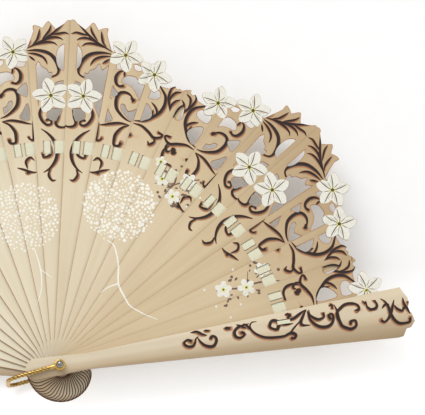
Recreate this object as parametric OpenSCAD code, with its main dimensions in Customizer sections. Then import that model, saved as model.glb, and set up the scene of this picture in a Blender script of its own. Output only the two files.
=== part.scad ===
// Brise folding fan: wooden blades between two cambered guards, turning on
// one rivet and strung together by a ribbon. It lies open and flat: +Z is the
// rivet's axis, +Y runs up the middle of the open fan, and the origin is on the
// rivet's axis at the lowest point of its lower head. Millimetres.

/* [Leaves] */
// Number of thin blades between the two guards
blade_count = 21; // [9:1:27]
// Turn from one leaf to the next when the fan is open, in degrees
leaf_step = 7.5; // [6.6:0.05:8.2]
// Distance from the rivet to the tip of the crest
crest_r = 210; // [190:1:260]
// Distance from the rivet to the end of the leaves' tails
tail_len = 19.6; // [16:0.1:26]
// Half width of a leaf's rounded tail
tail_half = 6.1; // [5:0.1:8]
// Where the tail's flare meets the long taper, out from the rivet
waist_r = 16; // [10:1:30]
// Half width that the long taper would have at the rivet
neck_half = 3.65; // [3.3:0.05:4.5]
// Half width gained for each millimetre outwards
taper = 0.055; // [0.05:0.001:0.062]
// Thickness of a blade
blade_t = 0.7; // [0.5:0.05:1]
// Free space between neighbouring leaves
layer_gap = 0.3; // [0.28:0.01:0.5]

/* [Guards] */
// Thickness of a guard along its crown
guard_t = 3.2; // [2.6:0.1:5]
// Radius of the guard's cambered outer face
camber_r = 38; // [30:1:80]
// Half width of the flat crown
crown_half = 5; // [3:0.5:8]

/* [Pierced work] */
// Share of a leaf's visible width kept as a strut on its left
strut_left = 0.19; // [0.08:0.01:0.22]
// Share of a leaf's visible width kept as a strut on its right
strut_right = 0.02; // [0:0.01:0.1]
// The same on the left half of a large palmette
strut_inner = 0.12; // [0.06:0.01:0.16]
// Petal length of the flowers along the crest
crest_flower = 11; // [8:0.5:12]
// Petal length of the flowers under the palmettes
low_flower = 11.5; // [8:0.5:12]

/* [Ribbon] */
// Distance from the rivet to the middle of the ribbon
ribbon_r = 133; // [110:1:145]
// Width of the ribbon
ribbon_w = 7.6; // [5:0.1:10]
// Thickness of the ribbon
ribbon_t = 0.1; // [0.05:0.01:0.12]
// Width of the slits that it passes through
slit_w = 1.1; // [0.6:0.1:1.6]
// Room beside the ribbon at each end of a slit
slit_room = 0.3; // [0.1:0.1:1]

/* [Rivet and shackle] */
// Radius of the rivet's pin
pin_r = 1.5; // [1:0.1:2]
// Running clearance round the pin
pin_play = 0.06; // [0.03:0.01:0.1]
// How far a ball head reaches past the side of the pin
head_over = 0.6; // [0.4:0.1:1.5]
// Height of a ball head above its flat seat
ball_h = 3.4; // [2.5:0.1:4]
// Thickness of a washer
washer_t = 0.5; // [0.3:0.1:1]
// Radius of a washer
washer_r = 3.4; // [2.5:0.1:5]
// Radius of the shackle's bar
bar_r = 1.3; // [1:0.1:2]
// Thickness of the shackle's eyes
eye_t = 2.6; // [2:0.1:3.5]
// Radius of the shackle's eyes
eye_r = 3.1; // [2.4:0.1:4.5]
// Distance from the rivet to the middle of the shackle's cross bar
shackle_len = 30.6; // [28:0.1:45]
// Radius of the shackle's two corners, at the middle of the bar
corner_r = 8; // [4:0.5:11]
// Direction that the shackle points in, from +X, in degrees
shackle_at = 194.5; // [188:0.5:350]
// Free play along the pin at each moving face
play = 0.1; // [0.05:0.05:0.3]

/* [Hidden] */
$fn = 48;
bore_r = pin_r + pin_play;
ball_r = pin_r + head_over;
// Room that the shackle takes along the pin: its eyes or its bar, whichever is thicker
bail_t = max(eye_t, 2 * bar_r);
pitch = blade_t + layer_gap;
last = blade_count + 1;
opening = leaf_step * last;
skin = 0.01;

// Heights, from the table up
eye_low = ball_h + play;
washer_low = eye_low + bail_t + play;
back_z = washer_low + washer_t;
stack_z = back_z + guard_t + layer_gap;
front_z = stack_z + blade_count * pitch;
washer_high = front_z + guard_t;
eye_high = washer_high + washer_t + play;
ball_high = eye_high + bail_t + play;

function is_guard(i) = i == 0 || i == last;
function leaf_z(i) = i == 0 ? front_z : i == last ? back_z : stack_z + (blade_count - i) * pitch;
function leaf_t(i) = is_guard(i) ? guard_t : blade_t;
function leaf_turn(i) = leaf_step * i - opening / 2;
function two(i) = str(i < 10 ? "0" : "", i);
function leaf_name(i) = i == 0 ? "front_guard" : i == last ? "back_guard" : str("blade_", two(i));

// ---- Places on a leaf -------------------------------------------------------
// A leaf points along +Y with its left side at -X. Its visible part runs from
// the left edge of the leaf above it, share 0, to its own left edge, share 1.
function left_edge(r) = neck_half + taper * r;
function cover_edge(r) =
    let (q = (r - neck_half * sin(leaf_step)) / (cos(leaf_step) + taper * sin(leaf_step)))
    left_edge(q) * cos(leaf_step) - q * sin(leaf_step);
function across(s, r) = cover_edge(r) + s * (left_edge(r) - cover_edge(r));
// A place given by its share across and its depth below the crest
function at(p) = let (r = crest_r - p[1]) [-across(p[0], r), r];
function mirrored(points) = [for (j = [len(points) - 1:-1:0]) [1 - points[j][0], points[j][1]]];

function bend(a, b, c, d, t) =
    0.5 * (2 * b + (c - a) * t + (2 * a - 5 * b + 4 * c - d) * t * t + (3 * b - a - 3 * c + d) * t * t * t);
function smooth(p, steps = 3) = let (n = len(p))
    [for (i = [0:n - 1]) for (j = [0:steps - 1])
        bend(p[(i + n - 1) % n], p[i], p[(i + 1) % n], p[(i + 2) % n], j / steps)];

// ---- Ornament, as share across and depth below the crest --------------------
// Right half of a large palmette
palmette_top = [[1.3, -1.6], [1, -1.6], [0.95, -2.8], [0.86, 0], [0.75, 2], [0.67, 3.4], [0.6, 1.2], [0.52, -1.6],
    [0.47, -1], [0.41, 1.4], [0.37, 2.8], [0.3, 1.6], [0.2, 0.8], [0.16, 1.4], [0.17, 4.6], [0.12, 8], [0.05, 12.4],
    [0, 15], [-0.6, 18]];
palmette_holes = [
    [[0.9, 14.2], [0.78, 14.4], [0.71, 17.5], [0.69, 22], [0.72, 26], [0.79, 28.4], [0.9, 28.6]],
    [[-0.04, 25], [0.12, 27.2], [0.18, 26.8], [0.25, 23.8], [0.32, 26.8], [0.45, 28.6], [0.5, 30.8], [0.58, 30.6],
        [0.55, 34.5], [0.46, 37], [0.4, 42], [-0.04, 46]],
    [[0.9, 36], [0.69, 37], [0.67, 38.8], [0.76, 40], [0.9, 39]],
    [[-0.04, 43], [0.18, 46], [0.21, 49], [0.17, 51.4], [-0.04, 57.6]],
    [[0.86, 52.6], [0.7, 53], [0.55, 53], [0.44, 56], [0.44, 58.6], [0.54, 60.2], [0.7, 60.8], [0.77, 58], [0.86, 56]]];
palmette_flowers = [[0.55, 45, low_flower, 12]];
// Scrolls beside it, under the two crest flowers
scroll_top = [[1.3, 15], [1, 15], [0.8, 18], [0.55, 20], [0.3, 18], [0.1, 22], [0, 25], [-0.6, 27]];
scroll_holes = [
    [[0.9, 21], [0.68, 21.3], [0.63, 23], [0.7, 25.2], [0.9, 25.6]],
    [[0.39, 20], [0.24, 20.6], [0.16, 22.4], [0.29, 23.8], [0.38, 22.4]],
    [[0.6, 31], [0.5, 28.2], [0.3, 27.8], [0.2, 29.4], [-0.04, 28.6], [-0.04, 41], [0.1, 39.2], [0.2, 36.6],
        [0.33, 34.2], [0.48, 33.4], [0.59, 33]],
    [[0.9, 36.2], [0.68, 39.2], [0.64, 41.2], [0.76, 43.4], [0.9, 44.4]],
    [[0.47, 46.4], [0.37, 46.4], [0.31, 48.5], [0.19, 49.6], [-0.04, 46.8], [-0.04, 54.6], [0.12, 54.4], [0.29, 52.2],
        [0.43, 49.6]],
    [[0.9, 49], [0.75, 53], [0.62, 57.4], [0.9, 59.2]]];
scroll_flowers = [[0.66, 16, crest_flower, 20], [-0.14, 23.8, crest_flower, 15]];
// Left half of a small palmette
fern_top = [[1.3, 26], [1, 26], [0.6, 29], [0.4, 28.6], [0.34, 27], [0.27, 25.8], [0.21, 27.2], [0.14, 26.2],
    [0.07, 27], [-0.02, 25.4], [-0.1, 24.6], [-0.6, 25.4]];
fern_holes = [
    [[0.9, 32.8], [0.72, 33.4], [0.62, 32], [0.53, 34.4], [0.57, 37], [0.7, 38.4], [0.9, 38.2]],
    [[0.9, 42.4], [0.72, 43], [0.58, 46.4], [0.56, 49.2], [0.66, 51.6], [0.9, 54]]];
fern_slot = [[0.86, 35.4], [0.79, 39.2], [0.76, 43.2], [0.86, 45.2], [0.96, 44.4], [0.94, 39.4]];
fern_flowers = [[0.86, 23.8, crest_flower, 15]];
// End of a guard, as share across its whole width from the right
guard_top = [[0, 10.8], [0.02, 7.8], [0.16, 5.5], [0.18, 2.5], [0.28, 0], [0.44, 1], [0.48, 2], [0.57, 2.5],
    [0.67, 1.4], [0.76, 1.8], [0.89, 3.6], [1, 4.8]];

kind = ["scroll", "fern", "fern", "scroll", "palmette", "palmette"];
is_mirrored = [true, true, false, false, false, true];
function tops(k) = k == "palmette" ? palmette_top : k == "scroll" ? scroll_top : fern_top;
function holes(k) = k == "palmette" ? palmette_holes : k == "scroll" ? scroll_holes : fern_holes;
function flowers(k) = k == "palmette" ? palmette_flowers : k == "scroll" ? scroll_flowers : fern_flowers;

// A flower of five pointed petals, [share, depth, petal length, turn]
module flower(f) {
    steps = 10;
    translate(at(f)) polygon([for (petal = [0:4], j = [0:steps - 1]) let (
        off_tip = min(j, steps - j) / (steps / 2),
        reach = f[2] * (1 - 0.44 * pow(off_tip, 1.25)),
        a = f[3] + 72 * (petal + j / steps)) [reach * sin(a), reach * cos(a)]]);
}

// The leaf's long edges, waist and rounded tail
module leaf_sides(top) {
    tail_y = tail_half - tail_len;
    polygon(concat([for (a = [180:9:360]) [tail_half * cos(a), tail_y + tail_half * sin(a)]],
        [[left_edge(waist_r), waist_r], [left_edge(top), top], [-left_edge(top), top],
        [-left_edge(waist_r), waist_r]]));
}

module blade_outline(i) {
    k = kind[i % 6];
    turned = is_mirrored[i % 6];
    top = turned ? mirrored(tops(k)) : tops(k);
    right = turned && k == "palmette" ? strut_inner : strut_right;
    blooms = [for (f = flowers(k)) turned ? [1 - f[0], f[1], f[2], -f[3]] : f];
    intersection() {
        leaf_sides(crest_r + 2);
        difference() {
            union() {
                polygon(concat([for (p = top) at(p)], [[left_edge(crest_r), 0], [left_edge(crest_r), -tail_len],
                    [-left_edge(crest_r), -tail_len], [-left_edge(crest_r), 0]]));
                for (f = blooms) flower(f);
            }
            difference() {
                intersection() {
                    union() for (h = holes(k)) polygon([for (p = smooth(turned ? mirrored(h) : h)) at(p)]);
                    polygon([for (p = [[right, 0], [1 - strut_left, 0], [1 - strut_left, 110], [right, 110]]) at(p)]);
                }
                for (f = blooms) flower(f);
            }
            if (turned && k == "fern") polygon([for (p = smooth(fern_slot)) at(p)]);
        }
    }
}

module guard_outline() {
    intersection() {
        leaf_sides(crest_r + 2);
        polygon(concat([for (p = guard_top) let (r = crest_r - p[1]) [left_edge(r) * (1 - 2 * p[0]) , r]],
            [[-left_edge(crest_r), -tail_len], [left_edge(crest_r), -tail_len]]));
    }
}

// Shares across at which the ribbon dives and rises
slits = [0.33, 0.48, 0.7];
function slit_x(j) = -across(slits[j], ribbon_r);

module slit(j, thick) {
    translate([slit_x(j) - slit_w / 2, ribbon_r - ribbon_w / 2 - slit_room, -1])
        cube([slit_w, ribbon_w + 2 * slit_room, thick + 2]);
}

module place(i) { translate([0, 0, leaf_z(i)]) rotate(leaf_turn(i)) children(); }

module pin_bore(thick) { translate([0, 0, -1]) cylinder(r = bore_r, h = thick + 2); }

module blade(i) {
    color("burlywood") place(i) difference() {
        linear_extrude(blade_t) offset(delta = 0.12) offset(delta = -0.12) blade_outline(i);
        pin_bore(blade_t);
        for (j = [0:2]) slit(j, blade_t);
    }
}

// Outer face up: flat under the blades, cambered and flat-crowned above
module guard_solid(j) {
    drop = camber_r - sqrt(camber_r * camber_r - crown_half * crown_half);
    difference() {
        intersection() {
            linear_extrude(guard_t) guard_outline();
            translate([0, -tail_len - 1, guard_t + drop - camber_r]) rotate([-90, 0, 0])
                cylinder(r = camber_r, h = crest_r + tail_len + 4, $fn = 180);
        }
        pin_bore(guard_t);
        slit(j, guard_t);
    }
}

module front_guard() { color("tan") place(0) guard_solid(2); }

module back_guard() {
    color("tan") place(last) translate([0, 0, guard_t]) mirror([0, 0, 1]) guard_solid(0);
}

// ---- Ribbon -----------------------------------------------------------------
// A flat run between two x places at height z, and a leg through a slit
module run(x0, x1, z) { translate([min(x0, x1), z]) square([abs(x1 - x0), ribbon_t]); }
module leg(x, z0, z1) { translate([x - ribbon_t / 2, z0]) square([ribbon_t, z1 - z0]); }

module ribbon(i) {
    thick = leaf_t(i);
    low = -skin - ribbon_t;
    high = thick + skin;
    tab = slit_w / 2 + 3;
    right_end = -across(0.04, ribbon_r);
    left_end = -across(0.94, ribbon_r);
    color("honeydew") place(i) translate([0, ribbon_r + ribbon_w / 2, 0]) rotate([90, 0, 0]) linear_extrude(ribbon_w) {
        if (i == 0) {
            run(left_end, slit_x(2), low);
            leg(slit_x(2), low, high + ribbon_t);
            run(slit_x(2), slit_x(2) + tab, high);
        } else if (i == last) {
            run(slit_x(0), right_end, high);
            leg(slit_x(0), low, high + ribbon_t);
            run(slit_x(0) - tab, slit_x(0), low);
        } else {
            run(slit_x(0), right_end, high);
            run(slit_x(1), slit_x(0), low);
            run(slit_x(2), slit_x(1), high);
            run(left_end, slit_x(2), low);
            for (j = [0:2]) leg(slit_x(j), low, high + ribbon_t);
        }
    }
}

// ---- Rivet ------------------------------------------------------------------
module rivet_pin() {
    color("silver") translate([0, 0, ball_h]) cylinder(r = pin_r, h = ball_high - ball_h);
}

module ball_head() {
    intersection() {
        translate([0, 0, ball_r]) sphere(r = ball_r);
        translate([-ball_r, -ball_r, 0]) cube([2 * ball_r, 2 * ball_r, ball_h]);
    }
}

module rivet_head_bottom() { color("silver") ball_head(); }

module rivet_head_top() {
    color("silver") translate([0, 0, ball_high + ball_h]) mirror([0, 0, 1]) ball_head();
}

module washer(z) {
    color("gold") translate([0, 0, z]) difference() {
        cylinder(r = washer_r, h = washer_t);
        pin_bore(washer_t);
    }
}

// ---- Shackle ----------------------------------------------------------------
module shackle_corner(z, low) {
    translate([shackle_len - corner_r, 0, z]) rotate([90, 0, 0])
        rotate([0, 0, low ? -90 : 0]) rotate_extrude(angle = 90) translate([corner_r, 0]) circle(r = bar_r);
}

module shackle() {
    low = eye_low + bail_t / 2;
    high = eye_high + bail_t / 2;
    reach = shackle_len - corner_r;
    color("goldenrod") rotate(shackle_at) difference() {
        union() {
            for (z = [low, high]) {
                translate([0, 0, z - eye_t / 2]) cylinder(r = eye_r, h = eye_t);
                translate([0, 0, z]) rotate([0, 90, 0]) cylinder(r = bar_r, h = reach);
            }
            shackle_corner(low + corner_r, true);
            shackle_corner(high - corner_r, false);
            translate([shackle_len, 0, low + corner_r]) cylinder(r = bar_r, h = high - low - 2 * corner_r);
        }
        for (z = [eye_low, eye_high]) translate([0, 0, z - play]) cylinder(r = bore_r, h = bail_t + 2 * play);
    }
}

front_guard();
for (i = [1:blade_count]) blade(i);
back_guard();
for (i = [0:last]) ribbon(i);
rivet_pin();
rivet_head_top();
rivet_head_bottom();
washer(washer_high);  // washer_top
washer(washer_low);  // washer_bottom
shackle();
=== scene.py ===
"""Burnt-work, painting, ribbon and metal of the folding fan, built round its CAD frame."""
import math
import random
import bpy
import numpy as np
from mathutils import Matrix, Vector
from mathutils.geometry import delaunay_2d_cdt


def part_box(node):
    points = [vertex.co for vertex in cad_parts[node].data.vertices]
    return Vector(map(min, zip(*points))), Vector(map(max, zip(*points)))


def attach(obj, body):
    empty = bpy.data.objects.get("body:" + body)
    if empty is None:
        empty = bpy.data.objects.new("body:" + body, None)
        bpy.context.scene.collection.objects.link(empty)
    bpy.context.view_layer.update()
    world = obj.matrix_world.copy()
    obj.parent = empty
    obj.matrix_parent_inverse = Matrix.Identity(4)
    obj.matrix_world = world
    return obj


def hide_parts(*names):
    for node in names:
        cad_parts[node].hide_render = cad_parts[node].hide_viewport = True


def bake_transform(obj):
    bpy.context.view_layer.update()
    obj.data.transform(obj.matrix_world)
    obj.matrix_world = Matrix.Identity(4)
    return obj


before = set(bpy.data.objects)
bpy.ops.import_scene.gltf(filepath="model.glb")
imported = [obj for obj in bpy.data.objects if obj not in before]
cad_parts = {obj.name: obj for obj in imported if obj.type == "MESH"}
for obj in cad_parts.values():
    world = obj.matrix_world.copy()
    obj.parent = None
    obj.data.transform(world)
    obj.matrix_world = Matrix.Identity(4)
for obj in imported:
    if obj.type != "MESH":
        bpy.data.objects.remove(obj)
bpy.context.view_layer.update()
MM = 0.001

# ---- The fan's own measures, in mm, as in the CAD ---------------------------
LAST = 22
STEP = 7.5
CREST_R = 210.0
NECK_HALF = 3.65
TAPER = 0.055
TAIL_LEN = 19.6
TAIL_HALF = 6.1
RIBBON_R = 133.0
RIBBON_W = 7.6
SLITS = (0.33, 0.48, 0.7)
CAMBER_R = 38.0
CROWN_HALF = 5.0
SHACKLE_AT = 194.5
SHACKLE_LEN = 30.6
CORNER_R = 8.0
BAR_R = 1.3
EYE_R = 3.1
EYE_T = 2.6
BORE_R = 1.56
HEAD_R = 2.1
WASHER_R = 3.4
KIND = ("scroll", "fern", "fern", "scroll", "palmette", "palmette")
MIRRORED = (True, True, False, False, False, True)


def leaf_name(i):
    return "front_guard" if i == 0 else "back_guard" if i == LAST else f"blade_{i:02d}"


def leaf_body(i):
    return "front_leaf" if i == 0 else "base" if i == LAST else f"leaf_{i:02d}"


def heights(node):
    low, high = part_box(node)
    return low.z / MM, high.z / MM


def leaf_turn(i):
    return math.radians(STEP * i - STEP * LAST / 2)


def to_world(points, turn):
    """Leaf coordinates, with the leaf along +Y, turned to their place on the open fan."""
    c, s = math.cos(turn), math.sin(turn)
    p = np.asarray(points, float).reshape(-1, 2)
    return np.column_stack((p[:, 0] * c - p[:, 1] * s, p[:, 0] * s + p[:, 1] * c))


def left_edge(r):
    return NECK_HALF + TAPER * r


def cover_edge(r):
    """Where the next leaf's left edge crosses this one, r out from the rivet."""
    c, s = math.cos(math.radians(STEP)), math.sin(math.radians(STEP))
    q = (r - NECK_HALF * s) / (c + TAPER * s)
    return left_edge(q) * c - q * s


def at(share, depth):
    """A place given by its share across a leaf's visible part and its depth below the crest."""
    r = CREST_R - depth
    return (-(cover_edge(r) + share * (left_edge(r) - cover_edge(r))), r)


# ---- Camera and light -------------------------------------------------------
def make_camera():
    """Looks down on the right half of the open fan from far off, with the picture turned a little."""
    azimuth, elevation, roll = (math.radians(v) for v in (25.244, 76.139, 23.517))
    distance, target = 1.26218, Vector((0.09373, 0.09456, 0.02))
    back = Vector((-math.sin(azimuth) * math.cos(elevation), -math.cos(azimuth) * math.cos(elevation),
                   math.sin(elevation)))
    right = Vector((0, 0, 1)).cross(back).normalized()
    up = back.cross(right)
    x_axis = right * math.cos(roll) + up * math.sin(roll)
    y_axis = up * math.cos(roll) - right * math.sin(roll)
    data = bpy.data.cameras.new("camera")
    data.sensor_fit = "HORIZONTAL"
    data.sensor_width = 36.0
    data.lens = 179.2
    camera = bpy.data.objects.new("camera", data)
    bpy.context.scene.collection.objects.link(camera)
    turn = Matrix((x_axis, y_axis, back)).transposed().to_4x4()
    camera.matrix_world = Matrix.Translation(target + back * distance) @ turn
    bpy.context.scene.camera = camera


def area_light(name, place, aim, size, power, colour):
    data = bpy.data.lights.new(name, "AREA")
    data.size = size
    data.energy = power
    data.color = colour
    light = bpy.data.objects.new(name, data)
    bpy.context.scene.collection.objects.link(light)
    light.location = place
    light.rotation_mode = "QUATERNION"
    light.rotation_quaternion = (Vector(aim) - Vector(place)).to_track_quat("-Z", "Y")


make_camera()
area_light("key", (-1.2, 2.3, 2.6), (0.0, 0.08, 0.0), 2.4, 84.0, (1.0, 0.985, 0.96))
area_light("fill", (0.9, 0.3, 1.1), (0.05, 0.08, 0.0), 1.1, 2.5, (0.97, 0.985, 1.0))
world = bpy.data.worlds.new("studio")
bpy.context.scene.world = world
world.use_nodes = True
background = world.node_tree.nodes["Background"]
background.inputs["Color"].default_value = (1.0, 1.0, 1.0, 1.0)
background.inputs["Strength"].default_value = 0.68
bpy.context.scene.view_settings.view_transform = "Standard"
bpy.context.scene.view_settings.look = "None"


# ---- Materials --------------------------------------------------------------
class Nodes:
    """A small helper that adds linked nodes to one material."""

    def __init__(self, name, roughness=0.5, metallic=0.0):
        self.material = bpy.data.materials.new(name)
        self.material.use_nodes = True
        self.tree = self.material.node_tree
        self.shader = self.tree.nodes["Principled BSDF"]
        self.shader.inputs["Roughness"].default_value = roughness
        self.shader.inputs["Metallic"].default_value = metallic

    def add(self, kind, settings=None, **inputs):
        node = self.tree.nodes.new(kind)
        for key, value in (settings or {}).items():
            setattr(node, key, value)
        for key, value in inputs.items():
            socket = node.inputs[int(key[1:])] if key[0] == "i" and key[1:].isdigit() else node.inputs[key]
            self.put(socket, value)
        return node

    def put(self, socket, value):
        if isinstance(value, bpy.types.NodeSocket):
            self.tree.links.new(value, socket)
        else:
            socket.default_value = value

    def attribute(self, name, output="Fac"):
        return self.add("ShaderNodeAttribute", {"attribute_name": name}).outputs[output]

    def place(self, scale, source="grain"):
        """Coordinates in mm, scaled for a texture: on the leaf, or an attribute in metres."""
        vector = self.attribute(source, "Vector")
        return self.add("ShaderNodeVectorMath", {"operation": "MULTIPLY"}, i0=vector, i1=scale).outputs[0]

    def noise(self, scale, detail=3.0, roughness=0.55, source="grain"):
        return self.add("ShaderNodeTexNoise", None, Vector=self.place(scale, source), Scale=1.0,
                        Detail=detail, Roughness=roughness).outputs[0]

    def ramp(self, value, stops):
        node = self.add("ShaderNodeValToRGB", None, Fac=value)
        elements = node.color_ramp.elements
        while len(elements) < len(stops):
            elements.new(0.5)
        for element, (where, colour) in zip(elements, stops):
            element.position = where
            element.color = (*colour, 1.0) if len(colour) == 3 else colour
        return node.outputs[0]

    def mask(self, value, low, high, top=1.0):
        """0 up to one level, and rising from there to its top at another."""
        return self.ramp(value, ((low, (0, 0, 0)), (high, (top, top, top))))

    def mix(self, share, first, second, mode="MIX"):
        node = self.add("ShaderNodeMix", {"data_type": "RGBA", "blend_type": mode})
        self.put(node.inputs[0], share)
        for socket, colour in zip(node.inputs[6:8], (first, second)):
            self.put(socket, colour if isinstance(colour, bpy.types.NodeSocket) else (*colour, 1.0))
        return node.outputs[2]

    def maths(self, operation, first, second=0.5, clamp=False):
        settings = {"operation": operation, "use_clamp": clamp}
        return self.add("ShaderNodeMath", settings, i0=first, i1=second).outputs[0]

    def grey(self, value, low, high):
        """A value spread between two levels."""
        return self.add("ShaderNodeMapRange", {"clamp": True}, i0=value, i3=low, i4=high).outputs[0]

    def finish(self, colour=None, roughness=None, height=None, strength=0.3, distance=0.0001):
        if colour is not None:
            self.put(self.shader.inputs["Base Color"], colour)
        if roughness is not None:
            self.put(self.shader.inputs["Roughness"], roughness)
        if height is not None:
            bump = self.add("ShaderNodeBump", None, Height=height, Strength=strength, Distance=distance)
            self.put(self.shader.inputs["Normal"], bump.outputs[0])
        return self.material


def wood(name, tan, cream):
    """Close-grained wood with long fibres, in colours given as (pale, deep, dusk). The tone attribute goes
    from cream at 0 to tan at 1 and a darker tan at 2, and the scorch attribute says how far it is burnt."""
    n = Nodes(name)
    fibres = n.noise((2.6, 0.05, 1.0), 4.0, 0.6)
    bands = n.noise((0.3, 0.008, 1.0), 3.0, 0.5)
    clouds = n.noise((0.03, 0.02, 1.0), 2.0, 0.5)
    pores = n.noise((6.0, 0.35, 1.0), 2.0, 0.5)
    tone = n.attribute("tone")
    pale, deep, dusk = (n.mix(tone, light, dark) for light, dark in zip(cream, tan))
    base = n.mix(n.mask(bands, 0.38, 0.66, 0.7), pale, deep)
    base = n.mix(n.grey(fibres, 0.0, 0.5), base, deep)
    base = n.mix(n.mask(pores, 0.58, 0.75, 0.4), base, dusk)
    base = n.mix(n.mask(clouds, 0.4, 0.8, 0.3), base, dusk)
    # Tone above 1 darkens the wood further still: on the guards this darkening is painted shade, on the
    # leaves it darkens the crests.
    past_tan = n.maths("SUBTRACT", tone, 1.0, True)
    base = n.mix(past_tan, base, n.mix(1.0, base, (0.70, 0.62, 0.53), "MULTIPLY"))
    scorch = n.attribute("scorch")
    speckle = n.noise((1.3, 1.3, 1.0), 3.0, 0.6)
    uneven = n.maths("ADD", scorch, n.maths("MULTIPLY", n.maths("SUBTRACT", speckle, 0.5), 0.3), True)
    burnt = n.ramp(uneven, (
        (0.0, (0.50, 0.30, 0.155)), (0.25, (0.41, 0.21, 0.10)), (0.58, (0.30, 0.138, 0.068)),
        (0.74, (0.11, 0.05, 0.03)), (0.84, (0.03, 0.018, 0.014)), (1.0, (0.018, 0.012, 0.011))))
    share = n.ramp(n.maths("MULTIPLY", uneven, n.maths("GREATER_THAN", scorch, 0.01)),
                   ((0.06, (0, 0, 0)), (0.16, (0.75, 0.75, 0.75)), (0.24, (1, 1, 1))))
    colour = n.mix(share, base, burnt)
    rough = n.maths("ADD", n.grey(fibres, 0.36, 0.5), n.maths("MULTIPLY", scorch, 0.25))
    height = n.maths("ADD", fibres, n.maths("MULTIPLY", pores, -0.5))
    n.shader.inputs["Specular IOR Level"].default_value = 0.28
    return n.finish(colour, rough, height, 0.35, 0.00006)


def cut_edge(name, light, dark):
    """The sawn sides of a leaf, browned along the whole cut."""
    n = Nodes(name, 0.6)
    streaks = n.noise((0.9, 0.9, 0.3), 3.0, 0.6)
    colour = n.mix(n.mask(streaks, 0.35, 0.7), light, dark)
    return n.finish(colour, n.grey(streaks, 0.5, 0.7), streaks, 0.3, 0.00006)


def paint(name, body, shade, vein):
    """Opaque body colour, laid on a little unevenly, with drawn veins."""
    n = Nodes(name)
    brush = n.noise((1.1, 1.1, 1.0), 3.0, 0.6)
    colour = n.mix(n.mask(brush, 0.35, 0.75), body, shade)
    colour = n.mix(n.mask(n.attribute("scorch"), 0.1, 0.75), colour, vein)
    return n.finish(colour, n.grey(brush, 0.42, 0.62), brush, 0.3, 0.00008)


def satin(name):
    """Narrow satin ribbon: fine weft ribs across it and a soft sheen."""
    n = Nodes(name, 0.42)

    def threads(direction, stretch, scale, distortion):
        return n.add("ShaderNodeTexWave", {"wave_type": "BANDS", "bands_direction": direction},
                     Vector=n.place(stretch), Scale=scale, Distortion=distortion).outputs[1]

    ribs = threads("X", (1.0, 0.25, 1.0), 1.15, 0.4)
    warp = threads("Y", (0.2, 1.0, 1.0), 1.6, 0.3)
    weave = n.maths("MULTIPLY", ribs, warp)
    colour = n.mix(n.grey(weave, 0.0, 0.55), (0.66, 0.64, 0.48), (0.50, 0.49, 0.34))
    n.shader.inputs["Sheen Weight"].default_value = 0.35
    n.shader.inputs["Sheen Roughness"].default_value = 0.4
    return n.finish(colour, n.grey(ribs, 0.36, 0.5), weave, 0.4, 0.00008)


def metal(name, bright, dark, roughness, source="grain", hollows=0.0, unit=1.0):
    """Polished metal with fine wear marks and a darker film in patches; the colour is darker still where the
    hollow attribute is 1.
    Unit is how many mm the source counts as 1."""
    n = Nodes(name, roughness, 1.0)
    marks = n.noise((0.9 * unit, 5.0 * unit, 5.0 * unit), 4.0, 0.65, source)
    film = n.noise((0.35 * unit, 0.35 * unit, 0.35 * unit), 3.0, 0.5, source)
    colour = n.mix(n.mask(film, 0.35, 0.75), bright, dark)
    if hollows:
        # Darker where the hollow attribute is 1, in the grooves of the rope pattern.
        in_hollows = n.maths("MULTIPLY", n.attribute("hollow"), hollows)
        colour = n.mix(in_hollows, colour, (dark[0] * 0.25, dark[1] * 0.22, dark[2] * 0.2))
    return n.finish(colour, n.grey(marks, roughness * 0.75, roughness * 1.35), marks, 0.15, 0.00005)


def floor_material():
    """A white ground that glows a little, most of all in front of the rivet."""
    n = Nodes("floor", 0.65)
    source = n.add("ShaderNodeTexCoord").outputs["Object"]
    fine = n.add("ShaderNodeTexNoise", None, Vector=source, Scale=60.0, Detail=2.0).outputs[0]
    depth = n.add("ShaderNodeSeparateXYZ", None, i0=source).outputs[1]
    glow = n.add("ShaderNodeMapRange", {"clamp": True}, i0=depth, i1=-0.03, i2=0.06, i3=0.55, i4=0.06)
    n.put(n.shader.inputs["Emission Strength"], glow.outputs[0])
    n.shader.inputs["Emission Color"].default_value = (1.0, 1.0, 1.0, 1.0)
    n.shader.inputs["Specular IOR Level"].default_value = 0.2
    return n.finish(n.mix(fine, (0.79, 0.79, 0.79), (0.82, 0.82, 0.825)), None, fine, 0.02)


TAN = ((0.615, 0.495, 0.32), (0.555, 0.435, 0.27), (0.50, 0.385, 0.235))
CREAM = ((0.75, 0.695, 0.55), (0.68, 0.61, 0.455), (0.62, 0.545, 0.395))
GUARD_TAN = ((0.58, 0.475, 0.33), (0.51, 0.41, 0.275), (0.44, 0.345, 0.225))
BLADE_WOOD = wood("blade_wood", TAN, CREAM)
GUARD_WOOD = wood("guard_wood", GUARD_TAN, CREAM)
BLADE_EDGE = cut_edge("blade_edge", (0.20, 0.115, 0.06), (0.09, 0.05, 0.028))
GUARD_EDGE = cut_edge("guard_edge", (0.42, 0.31, 0.20), (0.30, 0.21, 0.13))
PETAL = paint("petal_white", (0.76, 0.745, 0.67), (0.60, 0.585, 0.50), (0.12, 0.068, 0.035))
BLOSSOM = paint("blossom_white", (0.84, 0.82, 0.74), (0.72, 0.69, 0.59), (0.2, 0.14, 0.09))
STAMEN = paint("stamen_yellow", (0.66, 0.62, 0.10), (0.50, 0.50, 0.08), (0.2, 0.14, 0.02))
PISTIL = paint("pistil_dark", (0.03, 0.022, 0.018), (0.07, 0.05, 0.035), (0.02, 0.01, 0.01))
TWIG = paint("twig_brown", (0.10, 0.055, 0.04), (0.20, 0.115, 0.07), (0.05, 0.03, 0.02))
RIBBON = satin("ribbon_satin")
BRASS = metal("gilt_brass", (0.74, 0.49, 0.15), (0.28, 0.16, 0.05), 0.26, "grain", 1.0)
STEEL = metal("steel", (0.30, 0.29, 0.27), (0.16, 0.155, 0.145), 0.16)
PAINTS = (PETAL, BLOSSOM, STAMEN, PISTIL, TWIG)
PETAL_I, BLOSSOM_I, STAMEN_I, PISTIL_I, TWIG_I = range(5)


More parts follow.
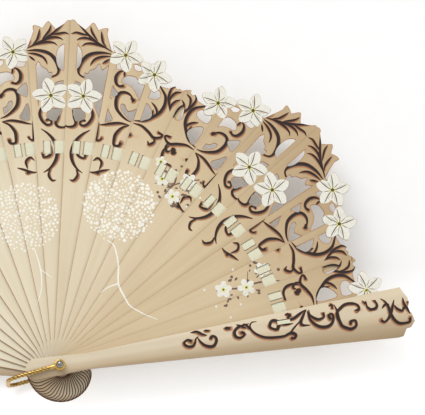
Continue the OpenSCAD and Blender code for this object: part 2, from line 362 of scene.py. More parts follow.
# ---- Mesh tools -------------------------------------------------------------
def new_object(name, vertices, faces, materials, face_material=None, attributes=None, smooth=None):
    """A mesh object from vertices in mm. Smooth is the sharpest angle still shaded smooth."""
    mesh = bpy.data.meshes.new(name)
    mesh.from_pydata([tuple(v) for v in np.asarray(vertices, float) * MM], [], faces)
    for material in materials:
        mesh.materials.append(material)
    if face_material is not None:
        mesh.polygons.foreach_set("material_index", np.asarray(face_material, np.int32))
    for key, values in (attributes or {}).items():
        values = np.asarray(values, np.float32)
        kind = "FLOAT" if values.ndim == 1 else "FLOAT_VECTOR"
        attribute = mesh.attributes.new(key, kind, "POINT")
        attribute.data.foreach_set("value" if values.ndim == 1 else "vector", values.ravel())
    if smooth is not None:
        mesh.shade_smooth()
        mesh.set_sharp_from_angle(angle=math.radians(smooth))
    mesh.validate()
    mesh.update()
    obj = bpy.data.objects.new(name, mesh)
    bpy.context.scene.collection.objects.link(obj)
    return obj


def face_loops(node, height, turn):
    """The closed outlines of a CAD node's flat face at a height, in mm on the leaf."""
    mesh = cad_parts[node].data
    places, open_edges = {}, set()
    for polygon in mesh.polygons:
        corners = [mesh.vertices[v].co for v in polygon.vertices]
        if any(abs(c.z / MM - height) > 0.003 for c in corners):
            continue
        keys = [(round(c.x, 7), round(c.y, 7)) for c in corners]
        places.update(zip(keys, corners))
        for a, b in zip(keys, keys[1:] + keys[:1]):
            if (b, a) in open_edges:
                open_edges.remove((b, a))
            else:
                open_edges.add((a, b))
    following = dict(open_edges)
    loops = []
    while following:
        first = next(iter(following))
        loop, here = [], first
        while here in following:
            loop.append(here)
            here = following.pop(here)
        if len(loop) > 2:
            loops.append(to_world([(p[0] / MM, p[1] / MM) for p in loop], -turn))
    return loops


def inside(points, loop):
    """Which points lie inside a closed outline."""
    a, b = loop, np.roll(loop, -1, axis=0)
    x, y = points[:, 0][:, None], points[:, 1][:, None]
    crosses = (a[:, 1] > y) != (b[:, 1] > y)
    rise = np.where(b[:, 1] == a[:, 1], 1e-12, b[:, 1] - a[:, 1])
    where = a[:, 0] + (y - a[:, 1]) * (b[:, 0] - a[:, 0]) / rise
    return (crosses & (x < where)).sum(axis=1) % 2 == 1


def curve_through(points, steps=4):
    """An open smooth curve through given points."""
    p = np.asarray(points, float)
    p = np.vstack((2 * p[0] - p[1], p, 2 * p[-1] - p[-2]))
    out = []
    for k in range(1, len(p) - 2):
        a, b, c, d = p[k - 1:k + 3]
        for j in range(steps):
            t = j / steps
            out.append(0.5 * (2 * b + (c - a) * t + (2 * a - 5 * b + 4 * c - d) * t * t
                              + (3 * b - a - 3 * c + d) * t ** 3))
    out.append(p[-2])
    return np.array(out)


def circle(centre, radius, sides=10):
    return [(centre[0] + radius * math.cos(2 * math.pi * k / sides),
             centre[1] + radius * math.sin(2 * math.pi * k / sides)) for k in range(sides)]


def run_along(path):
    """The length of a path up to each of its points."""
    return np.concatenate(([0.0], np.cumsum(np.linalg.norm(np.diff(path, axis=0), axis=1))))


def tube_faces(rows, ring):
    """The faces of a closed tube: its skin and its two ends."""
    faces = []
    for k in range(rows - 1):
        for j in range(ring):
            a, b = k * ring + j, k * ring + (j + 1) % ring
            faces.append((a, b, b + ring, a + ring))
    last = (rows - 1) * ring
    return faces + [tuple(range(ring))[::-1], tuple(range(last, last + ring))]


def normals_of(path):
    ahead = np.gradient(path, axis=0)
    ahead /= np.maximum(np.linalg.norm(ahead, axis=1), 1e-9)[:, None]
    return np.column_stack((-ahead[:, 1], ahead[:, 0]))


class Stroke:
    """A burnt line: a dark core that tapers, with a scorched halo that is wider on one fixed side, where it
    paints light and shade onto the engraved line.
    """

    ring_sides = 10

    def __init__(self, points, width, ball=0.0, halo=0.75, blunt=0.12, steps=4, strength=1.0):
        self.path = curve_through(points, steps)
        self.strength = strength
        run = run_along(self.path)
        share = run / run[-1]
        self.half = width / 2 * (blunt + (1 - blunt) * np.sin(np.pi * np.clip(share, 0.01, 0.99)) ** 0.65)
        if ball:
            near_end = np.clip((share - 0.8) / 0.2, 0, 1)
            self.half = self.half * (1 - near_end) + ball * near_end
        self.normal = normals_of(self.path)
        # The halo widens towards one fixed direction on the leaf: painted light and shade on the engraved
        # line, as if it were lit from one side.
        lean = self.normal @ np.array((0.75, -0.66))
        swell = np.clip(self.half / (width / 2), 0.25, 1.0)
        self.left = halo * swell * (0.16 + 0.84 * np.clip(lean, 0, 1))
        self.right = halo * swell * (0.16 + 0.84 * np.clip(-lean, 0, 1))
        self.full = np.maximum(self.left, self.right) + self.half
        slope = np.abs(np.gradient(self.full)) / np.maximum(np.gradient(run), 1e-6)
        self.rounds = [k for k in range(len(self.path)) if slope[k] > 0.5 or k in (0, len(self.path) - 1)]

    def offsets(self):
        """How far the middle, the core's edges and the halo's lie from the path."""
        return (0 * self.half, self.half, -self.half, self.half + self.left, -self.half - self.right)

    def lines(self):
        """The lines that the mesh has to follow, with a ring where the stroke ends or widens fast."""
        lines = [self.path + self.normal * o[:, None] for o in self.offsets()]
        for k in self.rounds:
            ring = circle(self.path[k], self.full[k] + 0.03, self.ring_sides)
            lines.append(np.array(ring + ring[:1]))
        return lines

    def level(self, points):
        """1 along the middle, 0.8 at the core's edge and 0 outside the halo."""
        best = np.zeros(len(points))
        reach = (self.half + np.maximum(self.left, self.right)).max() + 0.1
        low, high = self.path.min(0) - reach, self.path.max(0) + reach
        near = np.where(((points > low) & (points < high)).all(axis=1))[0]
        if not len(near):
            return best
        p = points[near][:, None, :]
        a, b = self.path[:-1], self.path[1:]
        along = b - a
        t = np.clip(((p - a) * along).sum(2) / np.maximum((along ** 2).sum(1), 1e-12), 0, 1)
        gap = p - (a + t[..., None] * along)
        far = np.sqrt((gap ** 2).sum(2))
        side = along[:, 0] * gap[..., 1] - along[:, 1] * gap[..., 0] >= 0
        half = self.half[:-1] + t * (self.half[1:] - self.half[:-1])
        halo = np.where(side, self.left[:-1] + t * (self.left[1:] - self.left[:-1]),
                        self.right[:-1] + t * (self.right[1:] - self.right[:-1]))
        core = 1 - 0.2 * far / np.maximum(half, 1e-6)
        edge = 0.8 * (1 - (far - half) / np.maximum(halo, 1e-6))
        best[near] = np.clip(np.where(far <= half, core, edge), 0, 1).max(axis=1) * self.strength
        return best


class Rim(Stroke):
    """A band along a cut edge, even across, whose outside falls off the wood: browning of the cut, and along
    a leaf's left edge painted shade as well.
    """

    ring_sides = 8

    def __init__(self, path, reach, strength):
        self.path = np.asarray(path, float)
        self.strength = strength
        count = len(self.path)
        self.half = np.full(count, 0.04)
        self.left = self.right = np.full(count, reach)
        self.full = self.half + reach
        self.normal = normals_of(self.path)
        self.rounds = [0, count - 1]

    def offsets(self):
        """Only the band's limits are new lines, because the cut edge is in the outline."""
        return (self.full, -self.full)


class Drawing:
    """Everything that one leaf's face carries: its outline, burnt lines and painted shapes."""

    def __init__(self, loops):
        self.loops = loops
        self.strokes = []
        self.shapes = []
        self.veins = []

    def shape(self, outline, paint_index):
        self.shapes.append((np.asarray(outline, float), paint_index))

    def ornament(self, table, thin, halo, place):
        """Adds a table of strokes, a little thinner than listed, with each point put in its place."""
        for points, width, ball in table:
            path = [place(*p) for p in zip(points[::2], points[1::2])]
            self.strokes.append(Stroke(path, width * thin, ball, halo))

    def mesh(self, guides=()):
        """Triangles of the face, the burn level at each point, and each triangle's paint or -1."""
        points, edges = [], []

        def line(path, closed):
            start = len(points)
            points.extend(Vector((float(x), float(y))) for x, y in path)
            edges.extend((start + k, start + k + 1) for k in range(len(path) - 1))
            if closed:
                edges.append((len(points) - 1, start))

        for loop in self.loops:
            line(loop, True)
        for stroke in self.strokes + self.veins:
            for path in stroke.lines():
                line(path, False)
        for outline, _ in self.shapes:
            line(outline, True)
        for guide in guides:
            line(guide, False)
        found = delaunay_2d_cdt(points, edges, [], 0, 1e-4)
        xy = np.array([tuple(v) for v in found[0]])
        triangles = np.array([tuple(f) for f in found[2]])
        middle = xy[triangles].mean(axis=1)
        kept = np.zeros(len(middle), bool)
        for loop in self.loops:
            kept ^= inside(middle, loop)
        triangles, middle = triangles[kept], middle[kept]
        a, b, c = xy[triangles[:, 0]], xy[triangles[:, 1]], xy[triangles[:, 2]]
        area = (b[:, 0] - a[:, 0]) * (c[:, 1] - a[:, 1]) - (b[:, 1] - a[:, 1]) * (c[:, 0] - a[:, 0])
        triangles[area < 0] = triangles[area < 0][:, ::-1]
        used, triangles = np.unique(triangles, return_inverse=True)
        triangles = triangles.reshape(-1, 3)
        xy = xy[used]
        painted = np.full(len(triangles), -1)
        for outline, index in self.shapes:
            near = np.where(((middle > outline.min(0)) & (middle < outline.max(0))).all(axis=1))[0]
            painted[near[inside(middle[near], outline)]] = index
        burn, vein = (np.max([np.zeros(len(xy))] + [stroke.level(xy) for stroke in group], axis=0)
                      for group in (self.strokes, self.veins))
        burn[burn < 0.03] = 0
        under_paint = np.zeros(len(xy), bool)
        under_paint[triangles[painted >= 0].ravel()] = True
        bare = np.zeros(len(xy), bool)
        bare[triangles[painted < 0].ravel()] = True
        burn[under_paint & ~bare] = 0
        return xy, triangles, burn, vein, painted


def slab(xy, triangles, low, high):
    """A closed solid over some triangles, between a low and a high surface."""
    used, index = np.unique(triangles, return_inverse=True)
    index = index.reshape(-1, 3).tolist()
    count = len(used)
    bottom = np.column_stack((xy[used], low[used]))
    top = np.column_stack((xy[used], high[used]))
    edges = {}
    for a, b, c in index:
        for edge in ((a, b), (b, c), (c, a)):
            if edge[::-1] in edges:
                del edges[edge[::-1]]
            else:
                edges[edge] = True
    faces = [(a + count, b + count, c + count) for a, b, c in index]
    faces += [(c, b, a) for a, b, c in index]
    faces += [(a, b, b + count, a + count) for a, b in edges]
    return np.vstack((bottom, top)), faces, used, len(index)


# ---- Burnt ornament ---------------------------------------------------------
# Each stroke is its points, its width and its end ball. The points are share across and depth below the
# crest by turns.
PALMETTE = (
    ((-.01, 15.5, .16, 13.3, .38, 10.5, .57, 6.9, .76, 2.2, .89, -1.6), 1.5, 0),
    ((.56, 1.1, .53, 3.9, .46, 6.7, .36, 9.7), 1.3, 0),
    ((.31, 3.6, .28, 7.2, .23, 10.5, .14, 12.7), 1.3, 0),
    ((.075, 9.4, .04, 12.2, 0, 14.7), 1.1, 0),
    ((.97, 6.9, .87, 5.8, .72, 6.4, .57, 6.9), 1.3, 0),
    ((.84, 10.5, .76, 9.1, .63, 8.6, .5, 9.4, .38, 11.1), 1.4, 0),
    ((.71, 13.9, .63, 12.2, .5, 11.6, .33, 12.2, .16, 13.6), 1.4, 0),
    ((0, 16.9, .2, 16.6, .4, 17.5, .55, 19.4, .66, 22.7, .72, 26, .75, 29.4, .71, 31.9,
      .6, 33.2), 2.2, .5),
    ((.01, 18.3, .2, 19.1, .36, 21, .44, 23.8, .46, 25.5), 1.5, 0),
    ((.03, 20.2, .12, 22.2, .17, 23.3), 1.2, 0),
    ((.5, 48.5, .36, 50.4, .25, 53.7, .215, 57.1, .29, 60.9, .42, 63.1, .55, 62.6, .55, 60.9, .46, 59.8,
      .42, 60.1), 1.7, .6),
    ((.83, 54.3, .76, 58.7, .69, 62, .76, 64.2, .93, 64.8, 1.03, 64), 1.6, .5),
    ((.24, 65.6, .45, 68.6, .64, 73.1, .75, 79.8, .7, 85.1, .51, 89.6, .27, 92.1), 2, 0),
    ((.53, 75.3, .53, 81.3, .29, 83.1, .25, 81.3), 1.5, .7),
    ((.72, 97.1, .56, 97.1, .44, 94.1, .48, 91.1), 1.4, .5),
)
SCROLL = (
    ((.61, 25.5, .72, 27.1, .78, 30.5, .74, 34.3, .64, 35.7, .54, 34.9), 1.9, .8),
    ((.6, 26, .57, 29.4), 1.1, 0),
    ((.21, 43.2, .25, 40.4, .37, 38.8, .5, 38.8, .6, 40.4, .64, 44.3, .58, 49.3, .415, 52.6, .23, 54.8,
      .07, 55.7), 2, 0),
    ((.97, 62, .8, 60.9, .6, 59.3, .35, 57.9, .09, 57.9), 1.5, 0),
    ((.09, 58.2, .27, 60.4, .405, 64.8, .415, 68.7, .37, 72, .21, 71.7, .18, 70), 1.8, .9),
    ((1, 60.4, 1, 65.9, .97, 71.4, .86, 71, .82, 69.8), 1.6, .6),
    ((1, 91.5, .8, 91.1, .51, 88.8, .29, 87.3), 1.3, 0),
    ((.72, 91, .66, 91), 1.8, .9),
    ((.94, 84.3, .8, 82.1, .63, 84.3, .66, 88.8), 1.4, 0),
    ((.2, 43.3, .17, 42.2, .22, 41.4), 1.6, .9),
)
FERN = (
    ((.71, 27.7, .56, 30.5, .41, 33.8, .34, 38.8, .37, 43.8, .475, 47.6, .69, 52.6, .98, 54.8), 2, 0),
    ((.69, 40.4, .56, 42.1, .46, 44.9, .45, 48.2), 1.3, 0),
    ((.58, 44.3, .56, 48.2, .6, 49.8), 1.1, 0),
    ((.27, 26, .34, 28.3, .33, 32.7, .26, 36.6, .14, 41.5), 1.6, 0),
    ((.07, 28, .2, 29.4, .26, 32.7, .25, 34.9), 1.4, 0),
    ((.02, 32.7, .11, 34.3, .17, 37.7, .15, 41), 1.3, 0),
    ((.98, 56.5, .73, 56.2, .475, 58.2, .26, 60.4, .07, 58.7, .06, 57, .18, 56.5), 1.7, .7),
    ((.95, 63.8, .99, 64.2), 1.8, .9),
    ((.39, 63.7, .305, 65.3, .2, 63.1, .22, 60.9), 1.5, .6),
)
# Only on the mirrored fern, where it stands
FERN_MIRRORED = (
    ((.86, 34.3, .945, 38.2, .99, 44.9), 1.6, 0),
    ((.71, 61.5, .8, 64.8, .775, 69.2, .63, 71.7, .39, 72), 1.7, .6),
    ((.58, 61.9, .54, 62.9, .5, 64), 3.2, 1.7),
)
STROKES = {"palmette": PALMETTE, "scroll": SCROLL, "fern": FERN}
# Flowers: share, depth, petal length, turn
FLOWERS = {
    "palmette": ((0.55, 45, 11.5, 12),),
    "scroll": ((0.66, 16, 11, 20), (-0.14, 23.8, 11, 15)),
    "fern": ((0.86, 23.8, 11, 15),),
}
# On a guard the points are mm left of its middle line and mm out from the rivet, by turns
GUARD_STROKES = (
    ((4, 82, 3, 80.5, .5, 79.5, -1, 78, -1, 75.5, .5, 73.5, 2, 73.5, 3, 75.5, 2, 77.5), 1.5, .9),
    ((3.5, 81.5, .5, 83, -2, 85.5, -3, 89.5, -.5, 92, 2, 92, 3, 90, 1.5, 89), 1.8, .9),
    ((7, 78, 7, 81.5, 5, 84.5, 4, 87), 1.5, 0),
    ((7, 86, 6.5, 88.5), 1.2, .5),
    ((6.5, 98, 6, 101), 2, .9),
    ((7, 112.5, 6.5, 109, 5.5, 105.5, 3.5, 103.5, 1, 103.5, -.5, 105.5, 0, 108, 1.5, 109,
      2.5, 107.5), 1.7, .9),
    ((7.5, 105.5, 6, 108, 4.5, 110.5), 1.3, 0),
    ((7.5, 109.5, 5.5, 111.5, 3, 113), 1.3, 0),
    ((7.5, 117, 7.5, 114.5, 5.5, 113, 3, 113.5, 0, 116, -2.5, 120.5, -3.5, 126.5, -3.5, 132.5, -2, 136,
      0, 138, 2.5, 141, 4.5, 144), 1.5, 0),
    ((3, 138, 3, 134.5, 4, 131, 6, 129, 6.5, 126.5, 5, 125, 3, 124.5, 1.5, 126.5, 1, 128.5,
      2.5, 129.5), 1.8, 1),
    ((-3, 132.5, -2.5, 136, -3.5, 138.5, -5.5, 138, -5.5, 136), 1.9, .9),
    ((8.5, 134.5, 9, 136, 8, 137.5, 7, 136), 1.7, .8),
    ((6, 134, 5.5, 137.5, 6.5, 140.5, 8.5, 144, 10, 147), 1.8, 0),
    ((10, 147.5, 6.5, 145, 3, 143, 1, 144, .5, 148), 1.7, 0),
    ((9.5, 149, 6.5, 149, 4, 151.5, 3, 154, 4, 157, 6, 157), 1.6, .8),
    ((9, 148, 4.5, 148.5, 1, 150.5, -1.5, 154, -2, 158, -.5, 161, 2.5, 162.5, 5, 162, 4.5, 160,
      2.5, 160.5), 1.9, .9),
    ((10, 161, 10.5, 163, 8.5, 163), 1.3, .7),
    ((10, 164.5, 6, 165.5, 2, 165.5, -2.5, 166.5, -4.5, 169, -5.5, 172, -4, 175, -1, 175, -1, 172.5,
      -2.5, 172), 1.9, .9),
    ((-3, 167, 1, 165, 5, 165, 7.5, 167.5, 9.5, 171, 9.5, 175, 8, 178, 5.5, 178.5, 4.5, 176.5), 1.8, .9),
    ((10, 181.5, 8, 183, 9.5, 183.5), 1.1, 0),
    ((8, 183.5, 6, 183.5, 4, 185.5, 4.5, 188.5, 6.5, 189.5, 9, 188.5), 1.7, .7),
    ((9.5, 192.5, 7.5, 194.5, 4, 196, 0, 196.5, -4, 198, -6.5, 200.5, -7, 204, -6.5, 207,
      -4.5, 207.5), 1.9, .9),
    ((7.5, 200, 4, 198.5, .5, 197, -3, 194.5, -4.5, 192, -3.5, 190.5), 1.7, .8),
    ((3.5, 192, 5.5, 194, 5.5, 196.5), 1.3, 0),
    ((4.5, 199.5, 2, 201, .5, 203.5, 2, 205), 1.5, .9),
    ((8, 205.5, 4.5, 205.5, 1, 207, -2, 208), 1.5, 0),
    ((5.5, 207.5, 3, 209.5), 1.2, 0),
)


def star_outline(ray, length, turn):
    """Five pointed petals, as in the CAD."""
    out = []
    for k in range(50):
        off_tip = min(k % 10, 10 - k % 10) / 5
        out.append(ray(turn + 7.2 * k, length * (1 - 0.44 * off_tip ** 1.25)))
    return out


def round_outline(ray, length, turn):
    """Five round petals."""
    return [ray(12 * k, length * (0.42 + 0.58 * abs(math.cos(math.radians(2.5 * (12 * k - turn)))) ** 0.6))
            for k in range(30)]


def ray_from(centre):
    """A function for places round a centre: the angle is from +Y, clockwise."""
    def ray(angle, radius):
        a = math.radians(angle)
        return (centre[0] + radius * math.sin(a), centre[1] + radius * math.cos(a))
    return ray


def add_flower(drawing, share, depth, length, turn):
    """Five white petals with drawn veins round a yellow-green ring and a dark middle."""
    centre = at(share, depth)
    ray = ray_from(centre)
    drawing.shape(star_outline(ray, length * 0.985, turn), PETAL_I)
    for k in range(5):
        petal = turn + 72 * k
        bend = 12 if k % 2 else -10
        side = petal + (17 if k % 2 else -16)
        middle = [ray(petal - bend, 0.9), ray(petal + bend * 0.4, length * 0.4),
                  ray(petal + bend, length * 0.84)]
        between = [ray(petal + 33, 1.6), ray(petal + 35, length * 0.5)]
        beside = [ray(side, length * 0.3), ray(side, length * 0.62)]
        drawing.veins += [Stroke(middle, 0.62, 0, 0.1, 0.45, 3), Stroke(between, 0.34, 0, 0.25, 0.3, 2),
                          Stroke(beside, 0.16, 0, 0.1, 0.3, 2)]
    drawing.shape(circle(centre, 1.5), STAMEN_I)
    drawing.shape(circle(centre, 1.05, 8), PISTIL_I)
    for k in range(5):
        drawing.shape(circle(ray(turn + 24 + 72 * k, 2.2), 0.42, 6), STAMEN_I)


def ribbon_of_paint(path, half):
    """A closed outline round a painted line whose half width tapers."""
    path = curve_through(path, 4)
    normal = normals_of(path)
    width = np.interp(np.linspace(0, 1, len(path)), np.linspace(0, 1, len(half)), half)[:, None]
    return np.vstack((path + normal * width, (path - normal * width)[::-1]))


def polar(angle, r):
    a = math.radians(angle)
    return (r * math.cos(a), r * math.sin(a))


GOLDEN_ANGLE = 2.399963


def painting():
    """Painted shapes on the whole open fan, in world mm: [outline, paint]."""
    shapes = []
    rng = random.Random(7)

    def add(outline, index):
        shapes.append((np.array(outline), index))

    for angle, r, radius, dot in ((68.5, 103.0, 21.5, 0.98), (101.0, 93.0, 20.5, 0.8)):
        cx, cy = polar(angle, r)
        count = int((radius / 1.24) ** 2)
        for k in range(count):
            a = k * GOLDEN_ANGLE
            reach = radius * math.sqrt((k + 0.5) / count)
            size = dot * rng.uniform(0.45, 1.2)
            x = cx + reach * math.cos(a) + rng.uniform(-0.5, 0.5)
            y = cy + reach * math.sin(a) + rng.uniform(-0.5, 0.5)
            tilt = rng.uniform(0, 90)
            outline = []
            for j in range(12):
                b = math.radians(30 * j + tilt)
                out = size * (0.72 + 0.4 * abs(math.cos(math.radians(60 * j))))
                outline.append((x + out * math.cos(b), y + out * math.sin(b)))
            add(outline, BLOSSOM_I)
    stems = (
        (((68, 81), (64.4, 79), (59.1, 70.4), (53.6, 60.3), (46, 56.2), (39.2, 54.7), (30, 58.5),
          (24.1, 63.5)), (.3, .4, .5, .55, .42, .3, .15)),
        (((53.6, 60.3), (57, 55.8), (60, 50.1)), (.45, .35, .15)),
        (((100, 73), (99, 60), (101, 48), (108, 40)), (.3, .4, .3, .15)),
        (((99, 60), (93, 54)), (.35, .15)),
    )
    twigs = (
        (((58.2, 138), (56.8, 130), (57.5, 121)), (.3, .55, .2)),
        (((52, 140), (55, 133), (58, 125)), (.25, .5, .2)),
        (((57, 129), (61.5, 124)), (.35, .15)),
        (((20, 139), (21.5, 128), (22.5, 113), (25.5, 104)), (.25, .5, .55, .2)),
        (((22, 120), (25.5, 124)), (.3, .15)),
        (((24.5, 138), (23, 127)), (.2, .35)),
    )
    for paths, index in ((stems, BLOSSOM_I), (twigs, TWIG_I)):
        for path, half in paths:
            add(ribbon_of_paint([polar(*p) for p in path], half), index)
    for angle, r in ((59.5, 120), (60.8, 134), (52.5, 127), (57.5, 141), (53.6, 118.5), (19.8, 112),
                     (26.2, 114), (19.4, 125), (26.6, 127), (22.6, 141)):
        add(circle(polar(angle, r), rng.uniform(0.7, 1.15), 7), TWIG_I)
    for middle, r, spread, depth, count in ((55.5, 129, 5.5, 12, 34), (22.5, 118, 4.5, 15, 26)):
        for _ in range(count):
            x, y = polar(middle + rng.uniform(-spread, spread), r + rng.uniform(-depth, depth))
            tilt, size = rng.uniform(0, math.pi), rng.uniform(0.35, 0.85)
            bud = [(1.7 * u, v) for u, v in circle((0, 0), size, 8)]
            add(to_world(bud, tilt) + (x, y), TWIG_I)
    for angle, r, length in ((60.2, 128.5, 4.6), (54, 135.2, 5.2), (55.3, 122.1, 4.8), (23.8, 106.1, 5.2),
                             (21.6, 119.1, 5.4), (24.3, 131.9, 4.6), (62.5, 137.5, 3.6), (12.5, 186.3, 4.4)):
        centre = polar(angle, r)
        turn = rng.uniform(0, 72)
        ray = ray_from(centre)
        add(round_outline(ray, length, turn), PETAL_I)
        for k in range(5):
            add(circle(ray(turn + 72 * k + 15, 1.9), 0.34, 5), STAMEN_I)
        add(circle(centre, 1.25, 8), STAMEN_I)
        add(circle(centre, 0.62, 7), PISTIL_I)
    for angle, r in ((26.5, 96), (19.5, 98), (28, 117), (58, 114), (50.5, 122), (14.5, 104), (17.5, 112),
                     (49, 131)):
        add(circle(polar(angle, r), 0.75, 7), PETAL_I)
    return shapes


PAINTED = painting()


def add_painting(drawing, turn):
    """Takes the painted shapes that reach this leaf."""
    for outline, index in PAINTED:
        local = to_world(outline, -turn)
        r = local[:, 1].max()
        if local[:, 1].min() > 0 and abs(local[:, 0]).min() < left_edge(r) + 1:
            drawing.shape(local, index)


# ---- Leaves -----------------------------------------------------------------
def leaf_attributes(xy, seed, tone, burn):
    """Grain runs along the leaf, and each leaf is cut from its own place in the plank."""
    grain = np.column_stack((xy[:, 0] + seed * 37.0, xy[:, 1] + seed * 11.0, np.full(len(xy), seed * 5.0)))
    return {"grain": grain, "tone": np.broadcast_to(tone, len(xy)), "scorch": burn}


PIERCED_FROM = 140.0
CREST_FROM = 165.0
COAT = 0.06
COAT_SUNK = 0.02


def add_cut_marks(drawing, i):
    """Marks where the leaf was cut: browning round the piercings and the crest, browning and painted shade
    along the left edge, and a dark band of painted shadow round the tail.
    """
    for loop in drawing.loops:
        closed = np.vstack((loop, loop[:1]))
        if loop[:, 1].min() > PIERCED_FROM:
            drawing.strokes.append(Rim(closed, 0.5, 0.45))
        elif loop[:, 1].max() > 180:
            high = closed[:, 1] > CREST_FROM
            starts = np.where(high[1:] & ~high[:-1])[0] + 1
            order = np.roll(np.arange(len(loop)), -int(starts[0]) if len(starts) else 0)
            crest = np.array([loop[k] for k in order if loop[k, 1] > CREST_FROM])
            drawing.strokes.append(Rim(crest, 0.5, 0.45))
    # Along the left edge a brown band that grows stronger towards the left-hand leaves: browning of the cut,
    # and painted shade on the edges that face away from the light.
    edge = [(-left_edge(r), r) for r in (17.0, 40.0, 70.0, 100.0, 128.0)]
    drawing.strokes.append(Rim(edge, 0.42, 0.14 + 0.32 * i / LAST))
    # Round the tail a dark band: painted shadow at the step between stacked tails, widening near the rivet
    # so the whole visible crescent there carries the painted shadow of the guard.
    inset = TAIL_HALF - 0.3
    arc = [(inset * math.cos(math.radians(a)), TAIL_HALF - TAIL_LEN + inset * math.sin(math.radians(a)))
           for a in range(190, 361, 10)]
    right = [(inset - 0.15, -10.0), (inset - 0.35, -6.0), (inset - 0.55, -2.5)]
    drawing.strokes.append(Stroke(arc + right, 0.46, 0, 0.4, 1.0, 1, 0.85))


def build_leaf(i):
    name = leaf_name(i)
    turn = leaf_turn(i)
    low, high = heights(name)
    guard = i in (0, LAST)
    flat = low if i == 0 else high
    drawing = Drawing(face_loops(name, flat, turn))
    guides = []
    if guard:
        drawing.ornament(GUARD_STROKES, 0.95, 1.6, lambda u, r: (-u, r))
        guides = [[(x, y) for y in np.arange(-20.0, 215.0, 6.0)] for x in np.arange(-14.0, 14.1, 1.4)]
    else:
        kind, mirrored = KIND[i % 6], MIRRORED[i % 6]
        drawing.ornament(STROKES[kind], 0.92, 1.75, lambda s, d: at(1 - s if mirrored else s, d))
        if mirrored and kind == "fern":
            drawing.ornament(FERN_MIRRORED, 0.92, 1.75, at)
        for s, d, length, angle in FLOWERS[kind]:
            add_flower(drawing, 1 - s if mirrored else s, d, length, -angle if mirrored else angle)
        add_painting(drawing, turn)
        add_cut_marks(drawing, i)
    xy, triangles, burn, vein, painted = drawing.mesh(guides)
    groove = np.clip((burn - 0.8) / 0.2, 0, 1) * (0.3 if guard else 0.2)
    if guard:
        thick = high - low
        drop = CAMBER_R - math.sqrt(CAMBER_R ** 2 - CROWN_HALF ** 2)
        face = np.minimum(thick, thick + drop - CAMBER_R + np.sqrt(CAMBER_R ** 2 - xy[:, 0] ** 2)) - groove
        bottom = np.full(len(xy), low) if i == 0 else high - face
        top = low + face if i == 0 else np.full(len(xy), high)
    else:
        bottom, top = np.full(len(xy), low), high - groove
    vertices, faces, used, count = slab(xy, triangles, bottom, top)
    if guard:
        # The guard darkens across towards one long edge, the right-hand one on the front guard: painted
        # shade on the side of its crown turned from the light. It also grows a little darker towards the
        # tip.
        away = -xy[:, 0] if i == LAST else xy[:, 0]
        outwards = away / np.maximum(left_edge(xy[:, 1]), 5.5)
        tone = 0.55 + 0.2 * xy[:, 1] / CREST_R + 1.3 * np.clip((outwards + 0.15) / 1.1, 0, 1)
    else:
        # From right to left the leaves go from tan to cream: partly wood that differs from leaf to leaf,
        # partly painted sheen where the left-hand leaves catch the light. Each leaf also has a small random
        # tone of its own and grows darker towards its crest.
        whole = min(1.0, (21 - i) / 18) ** 1.55 + random.Random(100 + i).uniform(-0.06, 0.06)
        tone = max(0.0, whole) + 0.8 * np.clip((xy[:, 1] - 110) / 75, 0, 1)
    local = xy[used]
    plain = np.zeros(len(used))
    scorch = (plain, burn[used]) if i < LAST else (burn[used], plain)
    tones = np.concatenate((tone[used], tone[used]))
    attributes = leaf_attributes(np.vstack((local, local)), i + 1, tones, np.concatenate(scorch))
    vertices[:, :2] = to_world(vertices[:, :2], turn)
    sides = np.concatenate((np.zeros(2 * count), np.ones(len(faces) - 2 * count)))
    finish = [GUARD_WOOD, GUARD_EDGE] if guard else [BLADE_WOOD, BLADE_EDGE]
    obj = new_object(f"wood_{name}", vertices, faces, finish, sides, attributes, 32 if guard else None)
    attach(obj, leaf_body(i))
    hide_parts(name)
    coloured = painted >= 0
    if coloured.any():
        chosen = triangles[coloured]
        vertices, faces, used, count = slab(xy, chosen, top - COAT_SUNK, top + COAT)
        vertices[:, :2] = to_world(vertices[:, :2], turn)
        kinds = painted[coloured]
        paint_of = {}
        for (a, b, c), index in zip(faces, kinds):
            paint_of.update({(a, b): index, (b, c): index, (c, a): index})
        sides = [paint_of[(face[3], face[2])] for face in faces[2 * count:]]
        material = np.concatenate((kinds, kinds, sides)).astype(np.int32)
        local = xy[used]
        veins = np.concatenate((vein[used], vein[used]))
        attributes = leaf_attributes(np.vstack((local, local)), i + 1, 0.0, veins)
        coat = new_object(f"paint_{name}", vertices, faces, PAINTS, material, attributes)
        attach(coat, leaf_body(i))


for leaf in range(LAST + 1):
    build_leaf(leaf)


# ---- Ribbon -----------------------------------------------------------------
ACROSS = [k / 14 - 0.5 for k in range(15)]


def band(path, thick):
    """A thin closed band: a path of (x, z) swept across y, with rounded selvedges."""
    path = np.asarray(path, float)
    vertices = []
    for (x, z), (nx, nz) in zip(path, normals_of(path)):
        for side, row in ((1, ACROSS), (-1, ACROSS[::-1])):
            for y in row:
                half = side * thick / 2 * (1 - 0.75 * abs(2 * y) ** 6)
                vertices.append((x + nx * half, y * RIBBON_W, z + nz * half))
    return np.array(vertices), tube_faces(len(path), 2 * len(ACROSS))


def ribbon_object(name, path, turn, shift=0.0):
    vertices, faces = band(path, 0.1)
    grain = vertices.copy()
    vertices[:, 1] += RIBBON_R + shift
    vertices[:, :2] = to_world(vertices[:, :2], turn)
    return new_object(name, vertices, faces, [RIBBON], None, {"grain": grain}, 50)


def dense(points, spacing=0.5):
    """Points along a bent line, close enough together for a smooth band."""
    out = [points[0]]
    for (x0, z0), (x1, z1) in zip(points, points[1:]):
        steps = max(1, int(math.dist((x0, z0), (x1, z1)) / spacing))
        out += [(x0 + (x1 - x0) * k / steps, z0 + (z1 - z0) * k / steps) for k in range(1, steps + 1)]
    return out


def place_x(share):
    """Where a share across a leaf lies along the ribbon's own line."""
    return at(share, CREST_R - RIBBON_R)[0]


SKIN = 0.06


